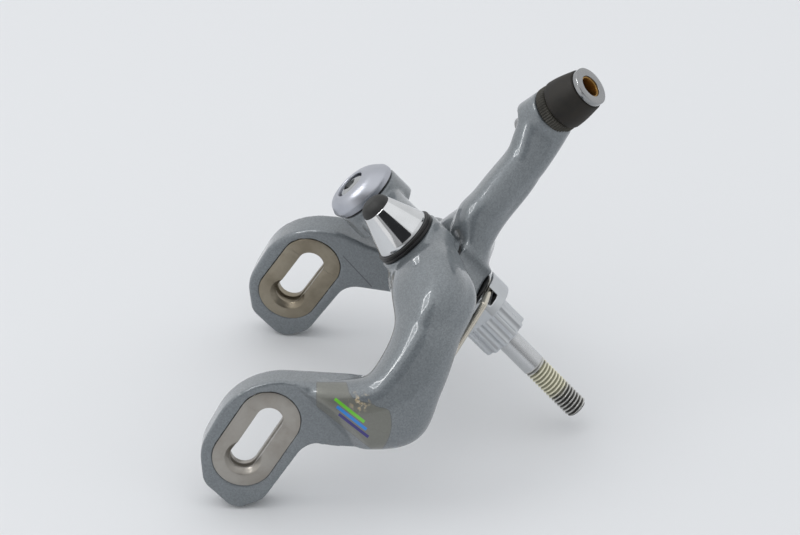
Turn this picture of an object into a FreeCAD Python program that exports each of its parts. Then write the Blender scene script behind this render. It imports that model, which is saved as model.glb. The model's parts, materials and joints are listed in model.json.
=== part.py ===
import FreeCAD, Part
import math
import os

# Bicycle caliper brake, single pivot, cable side at -X. All sizes in millimetres.
# The bolt lies along Y: the cone nut is at the front (-Y), the fork thread at the back (+Y).
# The origin is on the bolt axis, in the face that seats on the fork crown. Z points up.

os.makedirs("parts", exist_ok=True)
V = FreeCAD.Vector
ORIGIN = V(0, 0, 0)
AXIS_X = V(1, 0, 0)
AXIS_Y = V(0, 1, 0)
AXIS_Z = V(0, 0, 1)

# Fits
RUN_GAP = 0.08         # radial play of a turning fit
SIDE_GAP = 0.1         # axial play between turning faces
SWING_GAP = 0.6        # room left round a part that swings past another
ROOT_SINK = 0.5        # how far a limb starts inside the boss that it grows from
OPEN_DEG = 7.4         # how far each arm is sprung open past the closed setting

# Sections of the swept limbs
SECTION_POINTS = 20
RINGS_EACH = 2         # sections for each station
FULLNESS = 2.8         # 2 is an ellipse, more is squarer

# Pivot bolt
BOLT_R = 3.0
THREAD_LEN = 16.4
SHANK_LEN = 10.5
JOURNAL_R = 4.0
TIP_CHAMFER = 0.6

# Spring block, seated on the fork crown
SEAT_LEN = 8.5
SEAT_R = 6.5
FLUTE_COUNT = 12
FLUTE_R = 1.5
FLANGE_LEN = 5.6
FLANGE_R = 9.2
FLAT_OFFSET = 7.6      # distance of the side flats from the bolt axis
SLOT_DEPTH = 3.2       # spring slot in the front face of the block
SET_SCREW_R = 1.5
SET_SOCKET_R = 0.8
SET_SOCKET_DEPTH = 2.0

# Stack of arms and washers on the bolt
REAR_WASHER = 0.6
MID_WASHER = 0.8
HUB_LEN = 9.6
FRONT_WASHER = 0.85
WASHER_R = 8.1
HUB_R = 8.6
REAR_HUB_R = 9.6
HUB_FLAT = 6.9         # height of the flat on top of the rear hub
HUB_FLAT_START = -3.5
HUB_FLAT_TILT = 8.1
HUB_FLAT_ROUND = 3.0
BUSH_WALL = 1.0
CONE_LEN = 9.6
CONE_BASE_R = 7.4
CONE_TIP_R = 4.0
CONE_LIP = 0.6
CONE_BORE_R = 2.6
PLUG_DOME = 2.6
PLUG_STEM_LEN = 2.0
PLUG_STEP = 0.1        # the plug is this much smaller than the tip of the cone

# Lower limbs, the same on both arms but for the side. The slotted end and the forearm are
# drawn in the plane of the slot: across is to the rear, up is along the slot.
HALF_SPAN = 33.5       # from the middle of the brake to an elbow, arms closed
SLOT_X = HALF_SPAN - 1.4
SLOT_Y = -32.0
SLOT_Z = -51.0
SLOT_TILT = 15.5       # the slot leans to the front at its top
END_THICK = 7.5        # from the wheel side to the milled facet
END_LIP = 1.4          # how far the rim stands above the facet
INSERT_LEN = 27.2
INSERT_WIDE = 15.1
INSERT_THICK = 5.4     # flush on one side, sunk on the other
PAD_SLOT_LEN = 19.0
PAD_SLOT_WIDE = 6.7
GROOVE_DEPTH = 0.7     # groove round the inside of the pad slot
GROOVE_WIDE = 2.0
SINK_DEPTH = 1.2       # countersink at the lower end of the pad slot
RIM_FRONT = 4.3        # metal left round the insert
RIM_REAR = 2.8
RIM_BOTTOM = 5.0
OUTER_EASE = 2.2       # rounding of the rim, away from the wheel
INNER_EASE = 1.0
FACET_MARGIN = 3.2     # facet left round the insert
FACET_TOP = 17.5       # height of the facet's edge behind the insert
FACET_SLOPE = 0.3      # fall of that edge toward the elbow
FACET_LOW = -9.0       # below this the facet runs out over the rim
FACET_DRAFT = 45.0
FOREARM_TOP = 18.2     # height of the forearm's top edge in line with the slot
FOREARM_RISE = 29.0    # angle of the forearm to the short axis of the slot
FOREARM_WIDE = 16.0
FOREARM_THICK = 12.4
ELBOW_ACROSS = 23.6
ELBOW_UP = 25.8
ELBOW_HALF = 9.4
ELBOW_THICK = 14.4
SHOULDER_X = 13.0
SHOULDER_HALF = 9.2    # the front arm's shoulder reaches back round the rear hub
SHOULDER_Y = -26.1
SHOULDER_LIFT = 6.2    # how far the column bows up and out between shoulder and elbow
SHOULDER_SWELL = 0.9
REAR_SHOULDER_HALF = 5.6
REAR_SHOULDER_LIFT = 2.0
SHOULDER_ROOM = 4.0    # room in the rear arm for the shoulder of the front one
COLUMN_WAIST = 0.77    # narrowing of the column between shoulder and elbow
COLUMN_THICK = 15.8

# Return spring
WIRE_R = 0.9
SPRING_SINK = 1.2      # depth of the wire below the flange's rim
WIRE_GAP = 0.3
PEG_R = 1.2
PEG_BURIED = 5.0       # length of a spring peg inside its arm
PEG_PROUD = 1.0        # length past the wire
SPRING_REACH_X = HALF_SPAN - 6.5
SPRING_REACH_Y = -8.8
SPRING_REACH_Z = -15.5

# Cable line, arms closed
CABLE_X = -HALF_SPAN
ANCHOR_Z = -10.6
ANCHOR_RIM_Y = -40.7
BOSS_R = 8.7
BOSS_LEN = 7.6
CAP_R = 8.9
CAP_RIM = 1.2
CAP_DOME = 3.7
CAP_LIP = 0.8          # flat ring of the cap round the bolt's head
SEAL_THICK = 0.5
SEAL_INSET = 0.6
CLAMP_BOLT_R = 2.5
CLAMP_HEAD_R = 3.6
CLAMP_HEAD_LEN = 3.4
HEAD_PROUD = 0.6
CLAMP_SOCKET = 3.2
CLAMP_SOCKET_DEPTH = 2.0
NUT_FLANGE_R = 6.2
NUT_FLANGE_LEN = 1.4
NUT_R = 4.2
NUT_LEN = 3.0
BARREL_Y = -29.3
BARREL_TOP = 47.7
UPPER_HALF = 4.5       # half thickness of the upper limb
UPPER_SWEEP = 2.0      # how far its middle bows back
UPPER_FLARE = 4.0      # how far its root spreads toward the lower limb
EYE_R = 6.2
EYE_LEN = 6.4
STEM_R = 3.6
SOCKET_R = 2.5         # socket for the cable housing
CABLE_HOLE_R = 1.1
STEM_BELOW = 3.0
GRIP_RING_LEN = 3.0
GRIP_RING_R = 6.3
KNOB_LEN = 9.0
KNOB_BASE_R = 6.5
KNOB_TIP_R = 5.4
TIP_LEN = 1.4
TIP_R = 5.1
LINER_WALL = 0.4
LINER_LEN = 8.0
LINER_SINK = 0.4

# Stations on the bolt axis, from the fork to the front
flange_y = -SEAT_LEN
rear_washer_y = flange_y - FLANGE_LEN
rear_hub_y = rear_washer_y - REAR_WASHER - SIDE_GAP
mid_washer_y = rear_hub_y - HUB_LEN - SIDE_GAP
front_hub_y = mid_washer_y - MID_WASHER - SIDE_GAP
front_face_y = front_hub_y - HUB_LEN
washer_y = front_face_y - SIDE_GAP
cone_y = washer_y - 2 * FRONT_WASHER
rear_face_y = rear_hub_y - HUB_LEN
cone_tip_y = cone_y - CONE_LEN
bush_r = JOURNAL_R + RUN_GAP
bore_r = bush_r + BUSH_WALL
bolt_end_y = SHANK_LEN + THREAD_LEN


def turned(profile):
    """Solid of revolution about the bolt axis from (radius, y) corners."""
    corners = [V(r, y, 0) for r, y in profile]
    face = Part.Face(Part.makePolygon(corners + corners[:1]))
    return face.revolve(ORIGIN, AXIS_Y, 360)


def rod(radius, start, end):
    """Round bar between two points."""
    return Part.makeCylinder(radius, (end - start).Length, start, end - start)


def tube(outer, inner, start, end):
    """Round bar with a through bore."""
    return rod(outer, start, end).cut(rod(inner, start, end))


def hexagon(across, start, end):
    """Hexagonal prism along Y, for sockets."""
    radius = across / math.sqrt(3)
    angles = [k * math.pi / 3 for k in range(6)]
    corners = [start + V(math.cos(a), 0, math.sin(a)) * radius for a in angles]
    return Part.Face(Part.makePolygon(corners + corners[:1])).extrude(end - start)


def outline(corners, x):
    """Closed outline in the plane of the slot from (across, up, rounding) corners."""
    edges = []
    ends = []
    count = len(corners)
    for k in range(count):
        here = V(x, *corners[k][:2])
        before = (V(x, *corners[k - 1][:2]) - here).normalize()
        after = (V(x, *corners[(k + 1) % count][:2]) - here).normalize()
        half = before.getAngle(after) / 2
        radius = corners[k][2]
        run = radius / math.tan(half)
        middle = here + (before + after).normalize() * (radius / math.sin(half) - radius)
        arc = Part.Arc(here + before * run, middle, here + after * run)
        edges.append(arc.toShape())
        ends.append((here + before * run, here + after * run))
    joins = zip(ends, ends[1:] + ends[:1])
    edges += [Part.makeLine(a[1], b[0]) for a, b in joins if (b[0] - a[1]).Length > 1e-6]
    return Part.Wire(Part.__sortEdges__(edges))


def stadium(length, wide, thick, shift=0):
    """Round-ended slab at the slot of the +X arm, its thickness along X, moved outward by the shift."""
    half = wide / 2
    corners = [(a * half, b * length / 2, half) for a, b in ((-1, -1), (1, -1), (1, 1), (-1, 1))]
    face = Part.Face(outline(corners, shift - thick / 2))
    return place_at_slot(face.extrude(V(thick, 0, 0)))


def place_at_slot(shape):
    """Tilt a shape that was drawn round the origin and move it to the slot."""
    shape.rotate(ORIGIN, AXIS_X, SLOT_TILT)
    shape.translate(V(SLOT_X, SLOT_Y, SLOT_Z))
    return shape


def section(centre, along, outward, half_side, half_out):
    """Ring of control points across a limb. Outward is away from the wheel."""
    along = V(along).normalize()
    side = along.cross(outward).normalize()
    out = side.cross(along)
    ring = []
    for k in range(SECTION_POINTS):
        angle = 2 * math.pi * k / SECTION_POINTS
        c, s = math.cos(angle), math.sin(angle)
        reach = (abs(c) ** FULLNESS + abs(s) ** FULLNESS) ** (-1 / FULLNESS)
        ring.append(centre + side * (half_side * reach * c) + out * (half_out * reach * s))
    return ring


def follow(values, at):
    """Smooth value at a station number, between the values given for whole stations."""
    k = min(int(at), len(values) - 2)
    f = at - k
    before, here = values[max(k - 1, 0)], values[k]
    there, after = values[k + 1], values[min(k + 2, len(values) - 1)]
    slope = (there - before) * f
    bend = (before * 2 - here * 5 + there * 4 - after) * f ** 2
    twist = (here * 3 - before - there * 3 + after) * f ** 3
    return here + (slope + bend + twist) * 0.5


def limb(stations):
    """Solid along a smooth path. Each station has a centre, an outward side and two half widths."""
    centres, outwards, sides, outs = zip(*stations)
    last = len(stations) - 1
    rings = []
    for k in range(last * RINGS_EACH + 1):
        at = k / RINGS_EACH
        along = follow(centres, min(at + 0.05, last)) - follow(centres, max(at - 0.05, 0))
        sizes = follow(sides, at), follow(outs, at)
        rings.append(section(follow(centres, at), along, follow(outwards, at), *sizes))
    spans = len(rings) - 3
    skin = Part.BSplineSurface()
    skin.buildFromPolesMultsKnots(rings, [4] + [1] * (spans - 1) + [4], [1] * (SECTION_POINTS + 1),
                                  list(range(spans + 1)), list(range(SECTION_POINTS + 1)), False, True, 3, 3)
    skin.setVNotPeriodic()
    side = skin.toShape()
    caps = [Part.Face(Part.Wire([edge])) for edge in side.Edges if edge.isClosed()]
    shell = Part.Compound([side] + caps)
    shell.sewShape()
    solid = Part.Solid(shell.Shells[0])
    return solid if solid.Volume > 0 else solid.reversed()


def mirror_x(shape):
    return shape.mirror(ORIGIN, AXIS_X)


def swing(shape, degrees):
    """Turn a shape about the bolt axis."""
    turned_shape = shape.copy()
    turned_shape.rotate(ORIGIN, AXIS_Y, degrees)
    return turned_shape


def slot_point(across, up, x):
    """Point given in the plane of the slot of the +X arm."""
    tilt = math.radians(SLOT_TILT)
    return V(x, SLOT_Y + across * math.cos(tilt) - up * math.sin(tilt),
             SLOT_Z + across * math.sin(tilt) + up * math.cos(tilt))


def paddle():
    """Slotted end and forearm as one flat form, its rim eased on both sides."""
    front = INSERT_WIDE / 2 + RIM_FRONT
    rear = INSERT_WIDE / 2 + RIM_REAR
    bottom = INSERT_LEN / 2 + RIM_BOTTOM
    slope = math.tan(math.radians(FOREARM_RISE))
    low = forearm_low(rear)
    far = ELBOW_ACROSS
    corners = [
        (-front, FOREARM_TOP - front * slope, 18.0),
        (-front * 0.87, -bottom * 0.52, 12.0),
        (-front * 0.4, -bottom * 0.92, 4.5),
        (rear * 0.55, -bottom * 1.05, 4.5),
        (rear * 0.97, -bottom * 0.72, 6.0),
        (rear * 1.03, low, 6.5),
        (far, forearm_low(far), 3.0),
        (far * 0.8, FOREARM_TOP + far * 0.8 * slope, 3.0),
    ]
    slab = Part.Face(outline(corners, -END_THICK / 2)).extrude(V(END_THICK + END_LIP, 0, 0))
    outer = [e for e in slab.Edges if min(v.X for v in e.Vertexes) > END_THICK / 2]
    slab = slab.makeFillet(OUTER_EASE, outer)
    inner = [e for e in slab.Edges if max(v.X for v in e.Vertexes) < 1e-3 - END_THICK / 2]
    return place_at_slot(slab.makeFillet(INNER_EASE, inner))


def forearm_low(across):
    """Height of the forearm's lower edge."""
    rise = math.radians(FOREARM_RISE)
    return FOREARM_TOP + across * math.tan(rise) - FOREARM_WIDE / math.cos(rise)


def facet_cut():
    """Material milled away over the facet round the insert, with sloping walls."""
    depth = 2 * FOREARM_THICK
    spread = depth * math.tan(math.radians(FACET_DRAFT))
    half_wide = INSERT_WIDE / 2 + FACET_MARGIN
    half_len = INSERT_LEN / 2 + FACET_MARGIN
    levels = ((END_THICK / 2, 0), (END_THICK / 2 + depth, spread))
    round_part = []
    rear_part = []
    for x, grow in levels:
        w, h = half_wide + grow, half_len + grow
        round_part.append(outline([(-w, -h, w), (w, -h, w), (w, h, w), (-w, h, w)], x))
        top = FACET_TOP + grow
        low = FACET_LOW + grow
        far = 3 * ELBOW_ACROSS
        corners = [V(x, 0, top), V(x, 0, low), V(x, -far, low - far / 2), V(x, -far, -2 * far),
                   V(x, far, -2 * far), V(x, far, top - far * FACET_SLOPE)]
        rear_part.append(Part.makePolygon(corners + corners[:1]))
    cut = Part.makeLoft(round_part, True, True).fuse(Part.makeLoft(rear_part, True, True))
    return place_at_slot(cut)


def lower_limb(hub_front, hub_radius, shoulder_y, shoulder_half, lift):
    """Limb of the +X arm: hub, swept column, elbow, forearm and slotted end."""
    hub_mid = hub_front + HUB_LEN / 2
    shoulder = V(SHOULDER_X, shoulder_y, 0)
    elbow = slot_point(ELBOW_ACROSS, ELBOW_UP, HALF_SPAN)
    bend = (shoulder + elbow) * 0.5 + V(0.5, -0.12, 0.86) * lift
    inner_x = SLOT_X - END_THICK / 2
    stations = [
        (V(0, hub_mid, 0), AXIS_Z, HUB_LEN / 2 - ROOT_SINK, hub_radius - ROOT_SINK),
        (shoulder, AXIS_Z, shoulder_half, hub_radius + SHOULDER_SWELL),
        (bend, V(0.5, 0, 0.86), (shoulder_half + ELBOW_HALF) / 2 * COLUMN_WAIST, COLUMN_THICK / 2),
        (elbow, V(1, 0, 0.25), ELBOW_HALF, ELBOW_THICK / 2),
    ]
    for share, wide, thick in ((0.68, 1.08, 1.0), (0.36, 1.03, 0.86), (0.08, 0.8, 0.5)):
        across = ELBOW_ACROSS * share
        middle = forearm_low(across) + FOREARM_WIDE / 2 / math.cos(math.radians(FOREARM_RISE))
        half = FOREARM_THICK / 2 * thick
        centre = slot_point(across, middle, inner_x + half + ROOT_SINK)
        stations.append((centre, AXIS_X, FOREARM_WIDE / 2 * wide, half))
    hub = rod(hub_radius, V(0, hub_front, 0), V(0, hub_front + HUB_LEN, 0))
    return limb(stations).fuse(hub).fuse(paddle()).cut(facet_cut())


def drill_arm(arm, hub_front):
    """Bore for the bush and the window for the slot insert."""
    bore = rod(bore_r, V(0, hub_front - 1, 0), V(0, hub_front + HUB_LEN + 1, 0))
    return arm.cut([bore, stadium(INSERT_LEN, INSERT_WIDE, 4 * END_THICK)])


def clear_of_hub(arm, hub_radius, start_y, end_y):
    """Cut the room in which the other arm's hub turns."""
    room = rod(hub_radius + SWING_GAP, V(0, start_y, 0), V(0, end_y, 0))
    return arm.cut(room)


def hub_flat():
    """Material milled off the top of the rear hub, beside the root of the upper limb."""
    corner = V(HUB_FLAT_START, rear_face_y - SIDE_GAP, HUB_FLAT)
    block = Part.makeBox(2 * REAR_HUB_R, HUB_LEN + 2 * SIDE_GAP, REAR_HUB_R, corner)
    low_edge = [e for e in block.Edges if (e.CenterOfMass - corner).cross(AXIS_Y).Length < 1e-6]
    return swing(block.makeFillet(HUB_FLAT_ROUND, low_edge), HUB_FLAT_TILT)


def slot_insert(face):
    """Steel ring round the pad slot, flush on its outer face (1) or on the wheel side (-1)."""
    shift = face * (END_THICK - INSERT_THICK) / 2
    ring = stadium(INSERT_LEN, INSERT_WIDE, INSERT_THICK, shift)
    groove = stadium(PAD_SLOT_LEN + 2 * GROOVE_DEPTH, PAD_SLOT_WIDE + 2 * GROOVE_DEPTH, GROOVE_WIDE, shift)
    low_end = slot_point(0, (PAD_SLOT_WIDE - PAD_SLOT_LEN) / 2, SLOT_X + face * END_THICK / 2)
    slot_r = PAD_SLOT_WIDE / 2
    sink = Part.makeCone(slot_r + SINK_DEPTH, slot_r, SINK_DEPTH, low_end, AXIS_X * -face)
    return ring.cut([stadium(PAD_SLOT_LEN, PAD_SLOT_WIDE, 2 * END_THICK), groove, sink])


# Front arm: pad end at +X, cable anchor on a short limb at -X
anchor = V(CABLE_X, ANCHOR_RIM_Y, ANCHOR_Z)
boss_rear = anchor + AXIS_Y * BOSS_LEN
anchor_mid = anchor + AXIS_Y * (BOSS_LEN / 2)
front_mid = front_hub_y - HUB_LEN / 2
anchor_dir = anchor_mid - V(0, front_mid, 0)
anchor_limb = limb([
    (V(0, front_mid, 0), AXIS_Z, HUB_LEN / 2 - ROOT_SINK, HUB_R - ROOT_SINK),
    (V(0, front_mid, 0) + anchor_dir * 0.4, AXIS_Z, HUB_LEN / 2 * 0.9, HUB_R * 0.8),
    (V(0, front_mid, 0) + anchor_dir * 0.75, AXIS_Z, BOSS_LEN / 2 * 0.9, BOSS_R * 0.75),
    (anchor_mid, AXIS_Z, BOSS_LEN / 2 * 0.85, BOSS_R * 0.8),
])
front_arm = lower_limb(front_face_y, HUB_R, SHOULDER_Y, SHOULDER_HALF, SHOULDER_LIFT)
front_arm = front_arm.fuse(anchor_limb).fuse(rod(BOSS_R, anchor + AXIS_Y * SEAL_THICK, boss_rear))
front_arm = drill_arm(front_arm, front_face_y)
front_arm = clear_of_hub(front_arm, REAR_HUB_R, front_hub_y, 0)
front_arm = clear_of_hub(front_arm, WASHER_R, front_face_y, 2 * ANCHOR_RIM_Y)
nut_start = boss_rear - AXIS_Y * (NUT_LEN - NUT_FLANGE_LEN)
front_arm = front_arm.cut([
    rod(CLAMP_BOLT_R + RUN_GAP, anchor - AXIS_Y, boss_rear + AXIS_Y),
    rod(NUT_R, nut_start, boss_rear + AXIS_Y),
    rod(NUT_FLANGE_R + SWING_GAP, boss_rear, boss_rear + AXIS_Y * BOSS_LEN),
])

# Rear arm: pad end at -X, cable adjuster on the long upper limb
eye_top = V(CABLE_X, BARREL_Y, BARREL_TOP - TIP_LEN - KNOB_LEN - GRIP_RING_LEN)
eye_bottom = eye_top - AXIS_Z * EYE_LEN
eye_mid = (eye_top + eye_bottom) * 0.5
rear_mid = V(0, rear_hub_y - HUB_LEN / 2, 0)
upper = eye_mid - rear_mid
sweep = V(0, UPPER_SWEEP, 0)
spread = V(-upper.z, 0, upper.x).normalize() * UPPER_FLARE
upper_limb = limb([
    (rear_mid + spread, AXIS_Z, UPPER_HALF - ROOT_SINK, REAR_HUB_R * 0.7 + UPPER_FLARE),
    (rear_mid + upper * 0.35 + spread * 0.8, AXIS_Z, UPPER_HALF * 0.95, UPPER_HALF * 0.93 + UPPER_FLARE * 0.8),
    (rear_mid + upper * 0.65 + sweep, AXIS_Z, UPPER_HALF, UPPER_HALF),
    (rear_mid + upper * 0.9 + sweep * 0.4, AXIS_Z, EYE_R * 0.95, UPPER_HALF),
    (eye_mid, AXIS_Z, EYE_R * 0.95, EYE_LEN * 0.45),
])
rear_limb = lower_limb(rear_face_y, REAR_HUB_R, rear_mid.y, REAR_SHOULDER_HALF, REAR_SHOULDER_LIFT)
rear_arm = mirror_x(rear_limb).fuse(upper_limb).fuse(rod(EYE_R, eye_bottom, eye_top)).cut(hub_flat())
rear_arm = mirror_x(drill_arm(mirror_x(rear_arm), rear_face_y))
rear_arm = clear_of_hub(rear_arm, HUB_R + SHOULDER_ROOM, rear_face_y, 2 * ANCHOR_RIM_Y)
rear_arm = clear_of_hub(rear_arm, FLANGE_R, rear_hub_y, bolt_end_y)
stem_room = AXIS_Z * STEM_BELOW
rear_arm = rear_arm.cut(rod(STEM_R + RUN_GAP, eye_bottom - stem_room, eye_top + stem_room))

# Pivot bolt, turned with a journal for the arms
pivot_bolt = turned([
    (0, cone_tip_y + PLUG_STEM_LEN), (CONE_BORE_R, cone_tip_y + PLUG_STEM_LEN), (CONE_BORE_R, cone_y),
    (JOURNAL_R, cone_y), (JOURNAL_R, 0), (BOLT_R, 0),
    (BOLT_R, bolt_end_y - TIP_CHAMFER), (BOLT_R - TIP_CHAMFER, bolt_end_y), (0, bolt_end_y),
])

# Spring block: round flange with two flats, fluted seat behind it
block = rod(SEAT_R, V(0, flange_y, 0), ORIGIN)
for k in range(FLUTE_COUNT):
    angle = 2 * math.pi * k / FLUTE_COUNT
    groove = V(math.cos(angle), 0, math.sin(angle)) * (SEAT_R + FLUTE_R * 0.6)
    block = block.cut(rod(FLUTE_R, groove + AXIS_Y * flange_y, groove))
flange = rod(FLANGE_R, V(0, rear_washer_y, 0), V(0, flange_y, 0))
room = 4 * FLANGE_R
keep = Part.makeBox(2 * FLAT_OFFSET, room, room, V(-FLAT_OFFSET, -room / 2, -room / 2))
block = block.fuse(flange.common(keep))
wire_y = rear_washer_y + SLOT_DEPTH / 2
wire_z = FLANGE_R - WIRE_R - SPRING_SINK
wire_slot = Part.makeBox(4 * FLANGE_R, SLOT_DEPTH, 2 * WIRE_R + WIRE_GAP,
                         V(-2 * FLANGE_R, rear_washer_y, wire_z - WIRE_R))
screw_y = flange_y - FLANGE_LEN / 2
screw_end = V(FLAT_OFFSET, screw_y, 0)
screw_start = V(JOURNAL_R + RUN_GAP, screw_y, 0)
block = block.cut([
    rod(JOURNAL_R, V(0, rear_washer_y - 1, 0), V(0, 1, 0)),
    wire_slot, rod(SET_SCREW_R, V(0, screw_y, 0), screw_end + AXIS_X),
])
set_screw = rod(SET_SCREW_R, screw_start, screw_end)
set_screw = set_screw.cut(rod(SET_SOCKET_R, screw_end - AXIS_X * SET_SOCKET_DEPTH, screw_end + AXIS_X))

# Return spring: a bow over the bolt, through the block, with a leg behind each arm
leg_top = V(FLAT_OFFSET + WIRE_R + WIRE_GAP, wire_y, wire_z)
leg_end = V(SPRING_REACH_X, SPRING_REACH_Y, SPRING_REACH_Z)
path = [V(-leg_end.x, leg_end.y, leg_end.z), V(-leg_top.x, leg_top.y, leg_top.z), leg_top, leg_end]
spring = Part.makeSphere(WIRE_R, path[1]).fuse(Part.makeSphere(WIRE_R, path[2]))
for start, end in zip(path, path[1:]):
    spring = spring.fuse(rod(WIRE_R, start, end))

# Spring pegs: each leg pushes its arm open on a peg set in the back of the arm
leg_dir = (leg_end - leg_top).normalize()
peg_side = V(-leg_dir.z, 0, leg_dir.x).normalize() * (WIRE_R + PEG_R + RUN_GAP)
peg_at = leg_end - leg_dir * (2 * PEG_R) + peg_side
front_peg = rod(PEG_R, peg_at - AXIS_Y * PEG_BURIED, peg_at + AXIS_Y * PEG_PROUD)
rear_peg = mirror_x(front_peg)

# Cone nut and plug
cone_nut = turned([
    (CONE_BORE_R, cone_y), (CONE_BASE_R, cone_y), (CONE_BASE_R, cone_y - CONE_LIP),
    (CONE_TIP_R, cone_tip_y), (CONE_BORE_R, cone_tip_y),
])
plug_r = CONE_TIP_R - PLUG_STEP
plug_profile = [(0, cone_tip_y + PLUG_STEM_LEN), (CONE_BORE_R, cone_tip_y + PLUG_STEM_LEN),
                (CONE_BORE_R, cone_tip_y), (plug_r, cone_tip_y)]
for k in range(1, 8):
    angle = k * math.pi / 16
    plug_profile.append((plug_r * math.cos(angle), cone_tip_y - PLUG_DOME * math.sin(angle)))
plug_profile.append((0, cone_tip_y - PLUG_DOME))
cone_plug = turned(plug_profile)

# Cable anchor on the front arm
cap_bore_r = CLAMP_BOLT_R + RUN_GAP
lip_r = CLAMP_HEAD_R + CAP_LIP
cap_top = -CAP_RIM - CAP_DOME
seat_y = cap_top + CLAMP_HEAD_LEN - HEAD_PROUD
cap_profile = [(cap_bore_r, 0), (CAP_R, 0), (CAP_R, -CAP_RIM)]
for k in range(1, 7):
    angle = k * math.pi / 12
    cap_profile.append((lip_r + (CAP_R - lip_r) * math.cos(angle), -CAP_RIM - CAP_DOME * math.sin(angle)))
cap_profile += [(CLAMP_HEAD_R, cap_top), (CLAMP_HEAD_R, seat_y), (cap_bore_r, seat_y)]
anchor_cap = turned(cap_profile)
anchor_cap.translate(anchor)
anchor_seal = tube(CAP_R - SEAL_INSET, cap_bore_r, anchor, anchor + AXIS_Y * SEAL_THICK)
head_seat = anchor + AXIS_Y * seat_y
head_top = head_seat - AXIS_Y * CLAMP_HEAD_LEN
clamp_bolt = rod(CLAMP_HEAD_R, head_top, head_seat).fuse(
    rod(CLAMP_BOLT_R, head_seat, boss_rear + AXIS_Y * NUT_FLANGE_LEN))
clamp_bolt = clamp_bolt.cut(hexagon(CLAMP_SOCKET, head_top, head_top + AXIS_Y * CLAMP_SOCKET_DEPTH))
nut_rear = boss_rear + AXIS_Y * NUT_FLANGE_LEN
anchor_nut = rod(NUT_R, nut_start, boss_rear).fuse(rod(NUT_FLANGE_R, boss_rear, nut_rear))
anchor_nut = anchor_nut.cut(rod(CLAMP_BOLT_R, nut_start - AXIS_Y, nut_rear + AXIS_Y))

# Cable adjuster on the rear arm
barrel_top = V(CABLE_X, BARREL_Y, BARREL_TOP)
ring_top = eye_top + AXIS_Z * GRIP_RING_LEN
knob_top = ring_top + AXIS_Z * KNOB_LEN
stem_bottom = eye_bottom - AXIS_Z * STEM_BELOW
stem = rod(STEM_R, stem_bottom, knob_top).fuse(rod(TIP_R, knob_top, barrel_top))
liner_r = SOCKET_R + LINER_WALL
liner_bottom = barrel_top - AXIS_Z * LINER_LEN
stem = stem.cut([
    rod(CABLE_HOLE_R, stem_bottom - AXIS_Z, barrel_top),
    rod(liner_r, liner_bottom, barrel_top + AXIS_Z),
])
liner = tube(liner_r, SOCKET_R, liner_bottom, barrel_top - AXIS_Z * LINER_SINK)
grip_ring = tube(GRIP_RING_R, STEM_R + RUN_GAP, eye_top + AXIS_Z * SIDE_GAP, ring_top)
knob_len = KNOB_LEN - SIDE_GAP
knob = Part.makeCone(KNOB_BASE_R, KNOB_TIP_R, knob_len, ring_top, AXIS_Z)
knob = knob.cut(rod(STEM_R + RUN_GAP, ring_top - AXIS_Z, knob_top + AXIS_Z))



def washer(front_y, rear_y, outer, inner):
    """Flat ring round the bolt axis."""
    return tube(outer, inner, AXIS_Y * front_y, AXIS_Y * rear_y)


FRONT_OPEN = -OPEN_DEG
REAR_OPEN = OPEN_DEG
pieces = {
    "pivot_bolt": pivot_bolt,
    "spring_block": block,
    "block_set_screw": set_screw,
    "return_spring": spring,
    "front_spring_peg": front_peg,
    "rear_spring_peg": rear_peg,
    "rear_thrust_washer": washer(rear_washer_y - REAR_WASHER, rear_washer_y, WASHER_R, JOURNAL_R),
    "middle_thrust_washer": washer(mid_washer_y - MID_WASHER, mid_washer_y, WASHER_R, JOURNAL_R),
    "inner_front_washer": washer(washer_y - FRONT_WASHER, washer_y, WASHER_R, JOURNAL_R),
    "outer_front_washer": washer(cone_y, cone_y + FRONT_WASHER, WASHER_R, JOURNAL_R),
    "cone_nut": cone_nut,
    "cone_plug": cone_plug,
    "front_arm": swing(front_arm, FRONT_OPEN).cut(front_peg),
    "front_arm_bush": washer(front_face_y, front_hub_y, bore_r, bush_r),
    "front_slot_insert": swing(slot_insert(1), FRONT_OPEN),
    "anchor_cap": swing(anchor_cap, FRONT_OPEN),
    "anchor_seal": swing(anchor_seal, FRONT_OPEN),
    "anchor_clamp_bolt": swing(clamp_bolt, FRONT_OPEN),
    "anchor_nut": swing(anchor_nut, FRONT_OPEN),
    "rear_arm": swing(rear_arm, REAR_OPEN).cut(rear_peg),
    "rear_arm_bush": washer(rear_face_y, rear_hub_y, bore_r, bush_r),
    "rear_slot_insert": swing(mirror_x(slot_insert(-1)), REAR_OPEN),
    "adjuster_grip_ring": swing(grip_ring, REAR_OPEN),
    "adjuster_stem": swing(stem, REAR_OPEN),
    "adjuster_liner": swing(liner, REAR_OPEN),
    "adjuster_knob": swing(knob, REAR_OPEN),
}
for name, shape in pieces.items():
    shape.exportStep("parts/" + name + ".step")
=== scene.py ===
import json
import math

import bmesh
import bpy
from mathutils import Matrix, Vector


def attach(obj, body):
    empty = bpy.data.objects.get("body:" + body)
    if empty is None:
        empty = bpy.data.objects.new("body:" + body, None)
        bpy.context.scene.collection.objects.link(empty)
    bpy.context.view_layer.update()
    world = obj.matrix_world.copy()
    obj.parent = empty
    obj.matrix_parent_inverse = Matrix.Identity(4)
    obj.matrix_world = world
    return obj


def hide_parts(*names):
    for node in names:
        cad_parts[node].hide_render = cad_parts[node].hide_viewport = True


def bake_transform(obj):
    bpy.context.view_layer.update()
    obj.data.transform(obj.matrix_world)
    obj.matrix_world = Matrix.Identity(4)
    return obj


# Bicycle caliper brake on a pale floor. Metres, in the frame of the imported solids:
# the bolt lies along Y with its thread at +Y, Z is up, and the cable side is at -X.

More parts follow.
